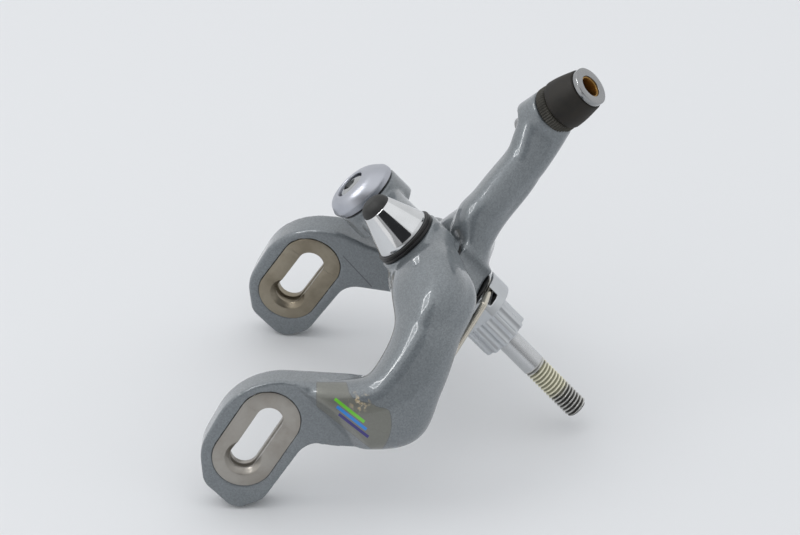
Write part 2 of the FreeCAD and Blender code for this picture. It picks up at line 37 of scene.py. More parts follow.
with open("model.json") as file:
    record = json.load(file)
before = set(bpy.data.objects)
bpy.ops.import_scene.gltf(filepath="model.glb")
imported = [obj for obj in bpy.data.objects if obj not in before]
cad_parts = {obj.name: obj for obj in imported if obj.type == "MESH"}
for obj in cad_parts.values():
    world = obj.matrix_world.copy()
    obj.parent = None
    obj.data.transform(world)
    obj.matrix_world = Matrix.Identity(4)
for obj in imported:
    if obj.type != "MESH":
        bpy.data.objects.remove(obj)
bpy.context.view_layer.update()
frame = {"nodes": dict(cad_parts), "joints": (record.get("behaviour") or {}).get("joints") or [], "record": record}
NODES = frame["nodes"]
MM = 0.001
AXIS_X = Vector((1, 0, 0))
AXIS_Y = Vector((0, 1, 0))
AXIS_Z = Vector((0, 0, 1))
ORIGIN = Vector((0, 0, 0))

# Camera of the photograph
CAMERA_AT = Vector((1.1059, -0.4204, 0.5519))
CAMERA_RIGHT = Vector((-0.128, 0.677, 0.725))
CAMERA_BACK = Vector((0.851, -0.300, 0.430))
LENS = 238.7
SENSOR = 36.0
BACK = CAMERA_BACK.normalized()
RIGHT = (CAMERA_RIGHT - BACK * CAMERA_RIGHT.dot(BACK)).normalized()
UP = BACK.cross(RIGHT)

# The brake lies on both arm ends and the tip of the bolt
FLOOR_UP = Vector((0, -0.749, 0.663)).normalized()

# Floor, lamps, cards and world: sizes in metres, power in watts, and glow where 1 is white.
# A place or a way is given across the picture, away from the camera and up from the floor.
MIDDLE = (0, 0, 0.04)
FLOOR_SIZE = 3.0
FLOOR_NEAR = 0.4
FLOOR_COLOUR = (0.745, 0.75, 0.755)
KEY_WAY = (-0.64, -0.02, 0.76)
KEY_FAR = 0.75
KEY_SIZE = (0.34, 0.26)
KEY_BAR = 0.03
KEY_POWER = 0.4
KEY_GLOW = 13.0
OVERHEAD_AT = (-0.05, 0.1, 0.85)
OVERHEAD_SIZE = (1.2, 1.2)
OVERHEAD_POWER = 0.9
DARK_CARD_WAY = (-0.1, -0.77, 0.58)
DARK_CARD_FAR = 0.9
DARK_CARD_SIZE = (0.5, 0.75)
WALL_AT = (-0.85, -0.45, 0.1)
WALL_SIZE = (0.75, 0.7)
WALL_GLOW = 0.95
WORLD_LIGHT = 0.95
WORLD_SEEN_NEAR = 0.3
WORLD_SEEN_FAR = 0.84

# Finish of the meshes
WELD = 0.002 * MM
SHARP = math.radians(38)
EDGE_WIDE = 0.12 * MM
EDGE_ANGLE = math.radians(40)
CAST_VOXEL = 0.36 * MM
CAST_PASSES = 8
BLOCK_VOXEL = 0.2 * MM
BLOCK_PASSES = 2
SOFT_PASSES = 90

# Joints that the casting rounds off: place and reach in millimetres
FRONT_SOFT = [((20.0, -25.0, 3.0), 17.0), ((35.5, -25.7, -15.5), 7.0), ((9.0, -33.0, 6.0), 8.0)]
REAR_SOFT = [((-9.0, -22.0, 9.0), 11.0), ((-13.5, -27.5, 9.5), 9.0), ((-25.0, -28.5, 29.0), 10.0)]

# Where a shape swells or dips from its solid, in millimetres: place, push and reach
FRONT_SWELLS = [((18.5, -20.5, 9.8), (0.0, 0.8, 1.7), 12.0),
                ((37.0, -9.5, -17.5), (0.2, 2.3, -0.3), 12.0)]
REAR_SWELLS = [((-27.0, -22.0, -1.0), (0.5, 1.5, -4.5), 14.0),
               ((-35.0, -27.0, -20.5), (0.0, 2.5, -2.4), 14.0)]
SPRING_SWELLS = [((10.0, -12.5, 6.5), (1.6, -1.2, 0.0), 9.0),
                 ((-8.9, -13.0, 7.0), (1.0, 0.8, -3.0), 6.5)]

# Limbs that join the hubs: x, y, z, half width and half depth at each station, in millimetres
SHOULDER = [(0.0, -30.0, 0.0, 9.6, 4.75), (7.0, -29.7, 0.6, 9.3, 4.75), (14.0, -28.5, 2.3, 9.0, 5.0),
            (22.0, -25.9, 2.2, 8.2, 5.6), (28.0, -23.0, -2.2, 6.0, 5.0)]
UPPER_LIMB = [(-4.5, -21.0, 4.5, 5.5, 4.6), (-9.0, -23.4, 8.6, 6.4, 4.4), (-11.2, -25.2, 12.2, 6.0, 5.0),
              (-13.0, -25.2, 15.4, 5.5, 4.9), (-17.0, -25.4, 20.3, 5.1, 4.9), (-22.5, -25.3, 26.6, 5.0, 5.2),
              (-27.0, -26.2, 32.6, 5.1, 5.1), (-28.6, -27.8, 37.2, 5.3, 5.3)]
WEB = [(-12.0, -24.8, 12.5, 4.5, 3.2), (-16.5, -24.4, 6.5, 4.8, 3.2), (-20.0, -24.2, 0.5, 4.5, 3.2)]
LIMB_FULLNESS = 2.6

# Within this radius of the bolt a limb stays between the front and rear faces of its hub, in millimetres
HUB_ROOM = 10.2
FRONT_HUB = (-34.7, -25.3)
REAR_HUB = (-24.4, -15.2)

# Chips in the lacquer: place in millimetres and size in metres
FRONT_CHIPS = [((12.9, -34.5, 3.7), 0.30 * MM), ((23.8, -30.5, 5.6), 0.22 * MM),
               ((39.6, -10.5, -11.0), 0.35 * MM)]
REAR_CHIPS = [((-16.3, -27.3, 25.7), 0.35 * MM)]

# Film on the near forearm and its stripes, in millimetres across and up the picture
FILM_EDGE = 0.15
FILM_TEARS = [((-0.917, -0.400), 39.8), ((-0.304, -0.953), 25.0)]
FILM_LEFT = -45.7
FILM_CREASE = -41.2
FILM_CORNER = (-37.5, -20.5)
FILM_CORNER_R = 9.8
FILM_DEPTH = 27.0
CREASE_ACROSS = (0.617, 0.788)
# Spot of brown glue flecks and pale painted reflection flecks at the tear
GLUE_AND_GLINT_AT = (42.4, -24.2, -18.6)
STRIPES = [(0.02, 0.012, 0.16), (0.015, 0.20, 0.60), (0.14, 0.52, 0.03)]
STRIPE_FIRST = -39.3
STRIPE_PITCH = 1.15
STRIPE_WIDE = 0.75
STRIPE_MIDDLE = -16.0
STRIPE_STAGGER = -1.5
STRIPE_LEN = 9.0

# Painted shade along a crease on the far arm, in millimetres
CREASE_SHADE_ACROSS = Vector((0, 0.044, 1))
CREASE_SHADE_AT = -33.84
CREASE_SHADE_MIDDLE = -24.9
CREASE_SHADE_HALF_LEN = 5.8
CREASE_SHADE_FADE = 0.4
CREASE_SHADE_HALF_WIDE = 0.22
CREASE_SHADE_CORE = 0.1

# Bolt: its nose carries the cone nut
BOLT_R = 3.0 * MM
NOSE_R = 2.6 * MM
NOSE_LEN = 7.6 * MM
THREAD_PITCH = 1.0 * MM
THREAD_DEPTH = 0.58 * MM
SHANK_END = 10.5 * MM
CHAMFER = 0.6 * MM
BOLT_SIDES = 48
RINGS_A_TURN = 10
WASHER_BORE = 4.0 * MM

# Adjuster: its knob and ring sit on the stem
STEM_R = 3.7 * MM
KNURL_TEETH = 56
KNURL_DEPTH = 0.3 * MM

# Cable anchor: the cap's face leans this far sideways for each unit that it rises
CAP_LEAN = Vector((0.28, 0, -0.2))
CAP_BORE = 2.6 * MM
CAP_RECESS_R = 4.0 * MM
CAP_RECESS = 1.6 * MM
SOCKET_R = 1.7 * MM


class Look:
    """A node material with short ways to add nodes and join them."""

    def __init__(self, name, **sockets):
        self.material = bpy.data.materials.new(name)
        self.material.use_nodes = True
        self.nodes = self.material.node_tree.nodes
        self.links = self.material.node_tree.links
        self.shader = self.nodes["Principled BSDF"]
        self.set(**sockets)
        self.place = self.add("ShaderNodeTexCoord").outputs["Object"]

    def set(self, **sockets):
        for name, value in sockets.items():
            self.feed(self.shader.inputs[name.replace("_", " ")], value)

    def feed(self, socket, value):
        if isinstance(value, bpy.types.NodeSocket):
            self.links.new(value, socket)
        elif isinstance(value, tuple) and len(value) == 3 and socket.type == "RGBA":
            socket.default_value = (*value, 1)
        else:
            socket.default_value = value

    def add(self, kind, inputs=None, **settings):
        node = self.nodes.new(kind)
        for name, value in settings.items():
            setattr(node, name, value)
        for key, value in (inputs or {}).items():
            self.feed(node.inputs[key], value)
        return node

    def noise(self, scale, detail=2.0, roughness=0.5, place=None):
        inputs = {"Vector": place or self.place, "Scale": scale, "Detail": detail, "Roughness": roughness}
        return self.add("ShaderNodeTexNoise", inputs).outputs["Fac"]

    def flakes(self, scale):
        node = self.add("ShaderNodeTexVoronoi", {"Vector": self.place, "Scale": scale})
        return self.add("ShaderNodeSeparateColor", {"Color": node.outputs["Color"]}).outputs["Red"]

    def span(self, value, low, high, to_low=0.0, to_high=1.0):
        inputs = {"Value": value, "From Min": low, "From Max": high, "To Min": to_low, "To Max": to_high}
        return self.add("ShaderNodeMapRange", inputs).outputs["Result"]

    def math(self, operation, a, b=0.0):
        return self.add("ShaderNodeMath", {0: a, 1: b}, operation=operation).outputs[0]

    def mix(self, share, a, b):
        node = self.add("ShaderNodeMix", data_type="RGBA")
        self.feed(node.inputs[0], share)
        self.feed(node.inputs[6], a)
        self.feed(node.inputs[7], b)
        return node.outputs[2]

    def along(self, direction):
        """Distance along a direction from the frame's origin, in millimetres."""
        inputs = {0: self.place, 1: tuple(direction / MM)}
        return self.add("ShaderNodeVectorMath", inputs, operation="DOT_PRODUCT").outputs["Value"]

    def gap(self, spot):
        """Distance from a spot given in millimetres, in metres."""
        inputs = {0: self.place, 1: tuple(c * MM for c in spot)}
        return self.add("ShaderNodeVectorMath", inputs, operation="DISTANCE").outputs["Value"]

    def bump(self, height, strength, distance):
        inputs = {"Height": height, "Strength": strength, "Distance": distance}
        self.set(Normal=self.add("ShaderNodeBump", inputs).outputs["Normal"])


def arm_paint(name, chips, chip_colour, marks):
    """Grey metallic lacquer under a clear coat, with fine flakes, small chips and the arm's own marks."""
    look = Look(name, Metallic=0.3, Coat_Weight=1.0, Coat_Roughness=0.05, Coat_IOR=1.5)
    tone = look.span(look.noise(45, 3), 0.3, 0.7)
    plain = look.mix(tone, (0.165, 0.184, 0.197), (0.19, 0.21, 0.222))
    paint = look.mix(look.span(look.flakes(2900), 0.0, 1.0, 0.0, 0.6), plain, (0.10, 0.115, 0.125))
    paint = marks(look, paint)
    for spot, size in chips:
        ragged = look.math("ADD", look.gap(spot), look.span(look.noise(2600), 0.0, 1.0, -size, size))
        paint = look.mix(look.span(ragged, size, size * 0.6), paint, chip_colour)
    look.set(Base_Color=paint, Roughness=look.span(look.flakes(2600), 0.0, 1.0, 0.34, 0.5))
    look.bump(look.noise(260, 2), 0.05, 0.2 * MM)
    return look.material


def film_marks(look, paint):
    """Yellowed clear film on the near forearm, torn along its upper edge, with three fine stripes, brown glue
    flecks and a painted reflection near the tear.
    """
    wobble = look.span(look.noise(500, 3), 0.0, 1.0, -0.5, 0.5)

    def inside(across, upward, limit, ragged=False):
        value = look.along(RIGHT * across + UP * upward)
        if ragged:
            value = look.math("ADD", value, wobble)
        return look.span(value, limit - FILM_EDGE, limit + FILM_EDGE)

    below_tear = look.math("MAXIMUM", *(inside(*slope, limit, True) for slope, limit in FILM_TEARS))
    film = look.math("MULTIPLY", below_tear, inside(1, 0, FILM_LEFT))
    film = look.math("MULTIPLY", film, inside(*CREASE_ACROSS, FILM_CREASE))
    beyond = look.math("MAXIMUM", look.math("SUBTRACT", look.along(RIGHT), FILM_CORNER[0]), 0.0)
    height = look.math("SUBTRACT", look.along(UP), FILM_CORNER[1])
    square = look.math("ADD", look.math("POWER", beyond, 2.0), look.math("MULTIPLY", height, height))
    reach = look.math("SQRT", square)
    film = look.math("MULTIPLY", film, look.span(reach, FILM_CORNER_R + FILM_EDGE, FILM_CORNER_R - FILM_EDGE))
    film = look.math("MULTIPLY", film, look.math("GREATER_THAN", look.along(BACK), FILM_DEPTH))
    rim = look.math("MULTIPLY", film, look.span(film, 0.5, 1.0, 1.0, 0.0))
    tinted = look.mix(look.math("MULTIPLY", film, 0.72), paint, (0.150, 0.146, 0.112))
    tinted = look.mix(look.math("MULTIPLY", rim, 0.8), tinted, (0.05, 0.05, 0.045))
    # Brown glue flecks left by the torn film, mixed with pale cream flecks that are a painted reflection on the
    # film's torn bubble
    glue_and_glint_spot = look.span(look.gap(GLUE_AND_GLINT_AT), 3.0 * MM, 1.2 * MM)
    glue_and_glint_flecks = look.math("MULTIPLY", glue_and_glint_spot, look.span(look.noise(900, 3), 0.5, 0.62))
    tinted = look.mix(glue_and_glint_flecks, tinted, look.mix(look.noise(1500, 1), (0.40, 0.26, 0.09), (0.62, 0.58, 0.48)))
    along = look.along(RIGHT * CREASE_ACROSS[1] - UP * CREASE_ACROSS[0])
    across = look.along(RIGHT * CREASE_ACROSS[0] + UP * CREASE_ACROSS[1])
    for k, colour in enumerate(STRIPES):
        off = look.math("ABSOLUTE", look.math("SUBTRACT", across, STRIPE_FIRST + k * STRIPE_PITCH))
        run = look.math("ABSOLUTE", look.math("SUBTRACT", along, STRIPE_MIDDLE + k * STRIPE_STAGGER))
        stripe = look.math("MULTIPLY", look.span(off, STRIPE_WIDE * 0.55, STRIPE_WIDE * 0.45),
                           look.math("LESS_THAN", run, STRIPE_LEN / 2))
        tinted = look.mix(look.math("MULTIPLY", stripe, film), tinted, colour)
    return tinted


def painted_crease_shade(look, paint):
    """Fine dark line of painted shade along a crease in the web of the far arm."""
    off = look.math("ABSOLUTE", look.math("SUBTRACT", look.along(CREASE_SHADE_ACROSS), CREASE_SHADE_AT))
    run = look.math("ABSOLUTE", look.math("SUBTRACT", look.along(AXIS_Y), CREASE_SHADE_MIDDLE))
    across = look.span(off, CREASE_SHADE_HALF_WIDE, CREASE_SHADE_CORE)
    ends = look.span(run, CREASE_SHADE_HALF_LEN, CREASE_SHADE_HALF_LEN - CREASE_SHADE_FADE)
    line = look.math("MULTIPLY", across, ends)
    # Near-black colour painted as the shade that falls in the crease
    return look.mix(look.math("MULTIPLY", line, 0.7), paint, (0.03, 0.034, 0.038))


def bare_steel(name, low, high, roughness=0.34):
    """Ground steel with a faint grain and warm stains."""
    look = Look(name, Metallic=1.0)
    grain = look.noise(900, 3)
    stain = look.span(look.noise(120, 4, 0.6), 0.42, 0.75)
    look.set(Base_Color=look.mix(stain, high, low))
    look.set(Roughness=look.span(grain, 0.3, 0.7, roughness - 0.05, roughness + 0.09))
    look.bump(grain, 0.08, 0.05 * MM)
    return look.material


def polished(name, colour, roughness):
    """Bright metal with faint smears."""
    look = Look(name, Metallic=1.0)
    smear = look.noise(160, 4, 0.6)
    look.set(Base_Color=look.mix(look.span(smear, 0.45, 0.8), colour, tuple(c * 0.9 for c in colour)))
    look.set(Roughness=look.span(smear, 0.3, 0.75, roughness, roughness + 0.07))
    return look.material


def dull(name, low, high, roughness, scale=300):
    """Plastic, rubber or blackened steel with a worn surface."""
    look = Look(name, Specular_IOR_Level=0.4)
    wear = look.noise(scale, 5, 0.65)
    look.set(Base_Color=look.mix(look.span(wear, 0.35, 0.7), low, high))
    look.set(Roughness=look.span(wear, 0.3, 0.7, roughness, roughness + 0.15))
    look.bump(wear, 0.15, 0.05 * MM)
    return look.material


def bolt_steel():
    """Polished shank, and a thread that keeps locking compound on its crests, its colour darker towards the roots
    of the thread.
    """
    look = Look("bolt_steel")
    parts = look.add("ShaderNodeSeparateXYZ", {"Vector": look.place})
    flat = look.add("ShaderNodeCombineXYZ", {"X": parts.outputs["X"], "Z": parts.outputs["Z"]}).outputs[0]
    radius = look.add("ShaderNodeVectorMath", {0: flat}, operation="LENGTH").outputs["Value"]
    along = parts.outputs["Y"]
    low, high = BOLT_R - THREAD_DEPTH, BOLT_R
    crest = look.span(radius, low + 0.2 * MM, high - 0.12 * MM)
    in_thread = look.math("GREATER_THAN", along, SHANK_END)
    spread = look.math("ADD", along, look.span(look.noise(420, 3), 0.0, 1.0, -2.2 * MM, 2.2 * MM))
    coated = look.math("MULTIPLY", look.span(spread, SHANK_END + 0.8 * MM, SHANK_END + 1.6 * MM),
                       look.span(spread, SHANK_END + 10.5 * MM, SHANK_END + 8.0 * MM))
    steel = look.mix(look.noise(500, 3), (0.50, 0.51, 0.52), (0.62, 0.63, 0.64))
    # Colour turns dark towards the thread's roots and pale at its crests, by radius alone
    thread = look.mix(crest, (0.09, 0.088, 0.082), (0.62, 0.62, 0.60))
    compound = look.mix(crest, (0.27, 0.26, 0.18), (0.80, 0.77, 0.60))
    threaded = look.mix(coated, thread, compound)
    look.set(Base_Color=look.mix(in_thread, steel, threaded))
    cover = look.math("MULTIPLY", in_thread, coated)
    look.set(Metallic=look.span(cover, 0.0, 1.0, 0.95, 0.05))
    look.set(Roughness=look.span(in_thread, 0.0, 1.0, 0.2, 0.5))
    return look.material


PAINT_FRONT = arm_paint("arm_paint_front", FRONT_CHIPS, (0.012, 0.012, 0.013), film_marks)
# The rear arm's paint carries a painted shade line along a crease
PAINT_REAR = arm_paint("arm_paint_rear", REAR_CHIPS, (0.75, 0.76, 0.77), painted_crease_shade)
INSERT_NEAR = bare_steel("insert_steel", (0.29, 0.265, 0.235), (0.38, 0.36, 0.33))
INSERT_FAR = bare_steel("insert_steel_stained", (0.20, 0.17, 0.125), (0.31, 0.275, 0.215))
MIRROR = polished("cone_polish", (0.66, 0.67, 0.68), 0.05)
BLOCK = polished("block_aluminium", (0.55, 0.57, 0.59), 0.26)
CAP = polished("cap_aluminium", (0.46, 0.475, 0.52), 0.33)
CHROME = polished("chrome", (0.46, 0.47, 0.475), 0.1)
STEM = polished("stem_nickel", (0.33, 0.335, 0.34), 0.14)
SPRING = polished("spring_wire", (0.62, 0.58, 0.50), 0.2)
BOLT = bolt_steel()
PLUG = dull("plug_plastic", (0.016, 0.016, 0.015), (0.036, 0.036, 0.034), 0.5)
BLACK = dull("washer_plastic", (0.004, 0.004, 0.004), (0.009, 0.008, 0.008), 0.3)
BLACK_STEEL = dull("blackened_steel", (0.008, 0.008, 0.009), (0.02, 0.02, 0.022), 0.3)
GRIP = dull("grip_plastic", (0.008, 0.0065, 0.0045), (0.02, 0.016, 0.011), 0.55)
RING = dull("ring_plastic", (0.03, 0.028, 0.022), (0.06, 0.056, 0.045), 0.5)
BRASS = polished("liner_brass", (0.42, 0.24, 0.07), 0.35)
BRONZE = polished("bush_bronze", (0.45, 0.30, 0.13), 0.3)


def piece(name, mesh, look, body, *replaced):
    """Put a finished mesh in the scene on its body, in place of the solids that it stands for."""
    thing = bpy.data.objects.new(name, mesh)
    bpy.context.scene.collection.objects.link(thing)
    mesh.materials.clear()
    mesh.materials.append(look)
    if body:
        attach(thing, body)
    if replaced:
        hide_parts(*replaced)
    return thing


def measure(node, origin, axis):
    """Where a turned solid starts and ends along its axis, and its largest radius."""
    along = [(v.co - origin).dot(axis) for v in NODES[node].data.vertices]
    radii = [(v.co - origin - axis * a).length for v, a in zip(NODES[node].data.vertices, along)]
    return min(along), max(along), max(radii)


def rounded(profile, closed):
    """Profile of (radius, along, rounding) corners with each corner eased by its rounding."""
    points = []
    count = len(profile)
    for k, (radius, along, ease) in enumerate(profile):
        here = Vector((radius, along))
        inner = closed or 0 < k < count - 1
        if not inner or ease <= 0:
            points.append(here)
            continue
        before = Vector(profile[k - 1][:2])
        after = Vector(profile[(k + 1) % count][:2])
        start = here + (before - here).normalized() * min(ease, (before - here).length * 0.48)
        end = here + (after - here).normalized() * min(ease, (after - here).length * 0.48)
        for step in range(6):
            t = step / 5
            points.append(start * (1 - t) ** 2 + here * (2 * t * (1 - t)) + end * t ** 2)
    return points


def strip(shape, first, second):
    """Faces between two rings, either of which may be a single point."""
    count = max(len(first), len(second))
    for k in range(count):
        n = (k + 1) % count
        places = ((first, k), (first, n), (second, n), (second, k))
        corners = list(dict.fromkeys(ring[place % len(ring)] for ring, place in places))
        if len(corners) > 2:
            shape.faces.new(corners)


def turned(name, profile, origin, axis, closed=False, count=96, radial=None, lean=ORIGIN):
    """Mesh turned about an axis from (radius, along, rounding) corners.

    Radial may change the radius by angle, and lean shifts the shape sideways as it rises."""
    axis = axis.normalized()
    side = axis.cross(AXIS_X if abs(axis.x) < 0.8 else AXIS_Z).normalized()
    other = axis.cross(side)
    points = rounded(profile, closed)
    shape = bmesh.new()
    rings = []
    for radius, along in points:
        centre = origin + axis * along + lean * max(0, along)
        if radius < 1e-7:
            rings.append([shape.verts.new(centre)])
            continue
        ring = []
        for k in range(count):
            angle = 2 * math.pi * k / count
            reach = radius + (radial(angle, radius, along) if radial else 0)
            ring.append(shape.verts.new(centre + (side * math.cos(angle) + other * math.sin(angle)) * reach))
        rings.append(ring)
    pairs = list(zip(rings, rings[1:]))
    if closed:
        pairs.append((rings[-1], rings[0]))
    for first, second in pairs:
        strip(shape, first, second)
    bmesh.ops.recalc_face_normals(shape, faces=shape.faces)
    return finished(name, shape)


def finished(name, shape):
    """Mesh of a drawn shape, smooth but for its sharp edges."""
    mesh = bpy.data.meshes.new(name)
    shape.to_mesh(mesh)
    shape.free()
    mesh.shade_smooth()
    mesh.set_sharp_from_angle(angle=SHARP)
    return mesh


def between(a, b, c, d, t):
    """Smooth curve from b to c that also heeds its neighbours a and d."""
    return b + 0.5 * t * (c - a + t * (2 * a - 5 * b + 4 * c - d + t * (3 * (b - c) + d - a)))


def full(value):
    """Squarer than a plain sine or cosine, for limbs that are not quite oval."""
    return math.copysign(abs(value) ** (2 / LIMB_FULLNESS), value)


def add_limb(shape, stations, hub_face, count=32, steps=6):
    """Add a closed oval limb through stations of x, y, z, half width and half depth, in millimetres."""
    nodes = [stations[0], *stations, stations[-1]]
    path = []
    for four in zip(nodes, nodes[1:], nodes[2:], nodes[3:]):
        for k in range(steps):
            path.append([between(*sizes, k / steps) for sizes in zip(*four)])
    path.append(stations[-1])
    rings = []
    for k, (x, y, z, half_width, half_depth) in enumerate(path):
        here = Vector((x, y, z))
        ahead = path[min(k + 1, len(path) - 1)]
        behind = path[max(k - 1, 0)]
        run = (Vector(ahead[:3]) - Vector(behind[:3])).normalized()
        across = run.cross(AXIS_Y).normalized()
        deep = run.cross(across)
        ring = []
        for n in range(count):
            angle = 2 * math.pi * n / count
            aside = across * full(math.cos(angle)) * half_width
            spot = here + aside + deep * full(math.sin(angle)) * half_depth
            if spot.xz.length < HUB_ROOM:
                spot.y = min(max(spot.y, hub_face[0]), hub_face[1])
            ring.append(shape.verts.new(spot * MM))
        rings.append(ring)
    for first, second in zip(rings, rings[1:]):
        strip(shape, first, second)
    shape.faces.new(rings[0][::-1])
    shape.faces.new(rings[-1])


def nearness(spot, centre, reach):
    """1 at a centre given in millimetres, falling smoothly to 0 at its reach."""
    far = (spot / MM - Vector(centre)).length / reach
    return (1 - far * far) ** 2 if far < 1 else 0.0


def swell(vertices, swells):
    """Push the vertices near some places."""
    for centre, push, reach in swells:
        for vertex in vertices:
            vertex.co += Vector(push) * MM * nearness(vertex.co, centre, reach)


def baked(thing, name):
    """Mesh of a helper object with its modifiers, in place of the object."""
    view = bpy.context.evaluated_depsgraph_get()
    mesh = bpy.data.meshes.new_from_object(thing.evaluated_get(view))
    mesh.name = name
    bpy.data.objects.remove(thing)
    return mesh


def softened(mesh, name, soft):
    """Round off the joints near some places and leave the rest as it is."""
    helper = bpy.data.objects.new(name + "_helper", mesh)
    bpy.context.scene.collection.objects.link(helper)
    group = helper.vertex_groups.new(name="soft")
    for vertex in mesh.vertices:
        share = max(nearness(vertex.co, centre, reach) for centre, reach in soft)
        if share > 0:
            group.add([vertex.index], min(1.0, share * 2), "REPLACE")
    ease = helper.modifiers.new("soft", "SMOOTH")
    ease.factor = 0.5
    ease.iterations = SOFT_PASSES
    ease.vertex_group = group.name
    return baked(helper, name)


def cast_copy(node, name, voxel, passes, limbs=(), hub_face=None, swells=(), soft=()):
    """Copy of a solid with its edges eased as on a casting, filled out by limbs and by swells."""
    shape = bmesh.new()
    shape.from_mesh(NODES[node].data)
    bmesh.ops.remove_doubles(shape, verts=shape.verts, dist=WELD)
    for limb in limbs:
        add_limb(shape, limb, hub_face)
    bmesh.ops.recalc_face_normals(shape, faces=shape.faces)
    source = bpy.data.objects.new(name + "_source", finished(name + "_source", shape))
    bpy.context.scene.collection.objects.link(source)
    remesh = source.modifiers.new("remesh", "REMESH")
    remesh.mode = "VOXEL"
    remesh.voxel_size = voxel
    ease = source.modifiers.new("ease", "SMOOTH")
    ease.factor = 0.5
    ease.iterations = passes
    mesh = baked(source, name)
    if soft:
        mesh = softened(mesh, name, soft)
    swell(mesh.vertices, swells)
    mesh.shade_smooth()
    return mesh


# Arms
front_cast = cast_copy("front_arm", "front_arm_cast", CAST_VOXEL, CAST_PASSES, [SHOULDER], FRONT_HUB,
                       FRONT_SWELLS, FRONT_SOFT)
piece("front_arm_cast", front_cast, PAINT_FRONT, "front_arm", "front_arm")
rear_cast = cast_copy("rear_arm", "rear_arm_cast", CAST_VOXEL, CAST_PASSES, [UPPER_LIMB, WEB], REAR_HUB,
                      REAR_SWELLS, REAR_SOFT)
piece("rear_arm_cast", rear_cast, PAINT_REAR, "rear_arm", "rear_arm")
block = cast_copy("spring_block", "spring_block_milled", BLOCK_VOXEL, BLOCK_PASSES)
piece("spring_block_milled", block, BLOCK, "centre", "spring_block")

# Turned pieces on the bolt axis
low, high, reach = measure("cone_nut", ORIGIN, AXIS_Y)
plug_low, plug_high, plug_reach = measure("cone_plug", ORIGIN, AXIS_Y)
tip_r = plug_reach + 0.1 * MM
cone = [(NOSE_R, high, 0), (reach, high, 0.1 * MM), (reach, high - 0.7 * MM, 0.3 * MM),
        (tip_r, low, 0.25 * MM), (NOSE_R, low, 0)]
cone_nut = turned("cone_nut_turned", cone, ORIGIN, AXIS_Y, True, 128)
piece("cone_nut_turned", cone_nut, MIRROR, "centre", "cone_nut")
dome = [(0, plug_high, 0), (plug_reach * 0.6, plug_high, 0), (plug_reach * 0.6, low, 0),
        (plug_reach, low, 0.1 * MM), (plug_reach * 0.92, low - 1.3 * MM, 1.0 * MM),
        (plug_reach * 0.55, plug_low, 1.2 * MM), (0, plug_low, 0)]
piece("cone_plug_moulded", turned("cone_plug_moulded", dome, ORIGIN, AXIS_Y), PLUG, "centre", "cone_plug")
for node in ("inner_front_washer", "outer_front_washer", "middle_thrust_washer", "rear_thrust_washer"):
    low, high, reach = measure(node, ORIGIN, AXIS_Y)
    ring = [(WASHER_BORE, low, 0), (reach, low, 0.3 * MM), (reach, high, 0.3 * MM), (WASHER_BORE, high, 0)]
    piece(node + "_ring", turned(node + "_ring", ring, ORIGIN, AXIS_Y, True), BLACK, "centre", node)


def threaded_bolt():
    """Bolt with a helical thread, its profile drawn ring by ring."""
    low, high, reach = measure("pivot_bolt", ORIGIN, AXIS_Y)
    nose = low + NOSE_LEN
    plain = [(NOSE_R, low), (NOSE_R, nose), (reach, nose), (reach, 0), (BOLT_R, 0),
             (BOLT_R, SHANK_END - 0.05 * MM)]
    shape = bmesh.new()
    rings = [[shape.verts.new((0, low, 0))]]

    def ring_at(radius_at, along):
        ring = []
        for k in range(BOLT_SIDES):
            angle = 2 * math.pi * k / BOLT_SIDES
            radius = radius_at(angle)
            ring.append(shape.verts.new((radius * math.cos(angle), along, radius * math.sin(angle))))
        rings.append(ring)

    for radius, along in plain:
        ring_at(lambda angle, r=radius: r, along)
    steps = int((high - SHANK_END) / THREAD_PITCH * RINGS_A_TURN)
    for k in range(steps + 1):
        along = SHANK_END + (high - SHANK_END) * k / steps
        run_in = min(1, (along - SHANK_END) / THREAD_PITCH)
        run_out = max(0, (along - (high - CHAMFER)) / CHAMFER)

        def radius_at(angle):
            phase = (along / THREAD_PITCH + angle / (2 * math.pi)) % 1
            groove = min(1, max(0, abs(phase - 0.5) * 2 - 0.12) / 0.7)
            thread = BOLT_R - THREAD_DEPTH * run_in * groove
            return min(thread, BOLT_R - run_out * CHAMFER)

        ring_at(radius_at, along)
    rings.append([shape.verts.new((0, high, 0))])
    for first, second in zip(rings, rings[1:]):
        strip(shape, first, second)
    bmesh.ops.recalc_face_normals(shape, faces=shape.faces)
    return finished("pivot_bolt_threaded", shape)


piece("pivot_bolt_threaded", threaded_bolt(), BOLT, "centre", "pivot_bolt")

# Adjuster: its axis comes from the joint that turns the knob
turn = next(j for j in frame["joints"] if j["name"] == "adjuster_turn")
BARREL = Vector(turn["axis"]).normalized()
BARREL_TOP = Vector(turn["pos_m"])
low, high, reach = measure("adjuster_knob", BARREL_TOP, BARREL)
knob = [(STEM_R, low, 0), (reach * 0.88, low, 0.2 * MM), (reach, low + 0.8 * MM, 0.4 * MM),
        (reach * 0.98, low + 3.6 * MM, 2.0 * MM), (5.4 * MM, high - 0.1 * MM, 0.5 * MM), (STEM_R, high, 0)]
knob_mesh = turned("adjuster_knob_moulded", knob, BARREL_TOP, BARREL, True)
piece("adjuster_knob_moulded", knob_mesh, GRIP, "adjuster_knob", "adjuster_knob")
low, high, reach = measure("adjuster_grip_ring", BARREL_TOP, BARREL)


def knurl(angle, radius, along):
    """Fine teeth round the outside of the ring."""
    if radius < reach * 0.9:
        return 0
    return -KNURL_DEPTH * (0.5 + 0.5 * math.cos(KNURL_TEETH * angle))


ring = [(STEM_R, low, 0), (reach * 0.9, low, 0.3 * MM), (reach, low + 0.5 * MM, 0.4 * MM),
        (reach, high - 0.4 * MM, 0.3 * MM), (reach * 0.92, high, 0.2 * MM), (STEM_R, high, 0)]
ring_mesh = turned("adjuster_grip_ring_knurled", ring, BARREL_TOP, BARREL, True, KNURL_TEETH * 6, knurl)
piece("adjuster_grip_ring_knurled", ring_mesh, RING, "adjuster_knob", "adjuster_grip_ring")

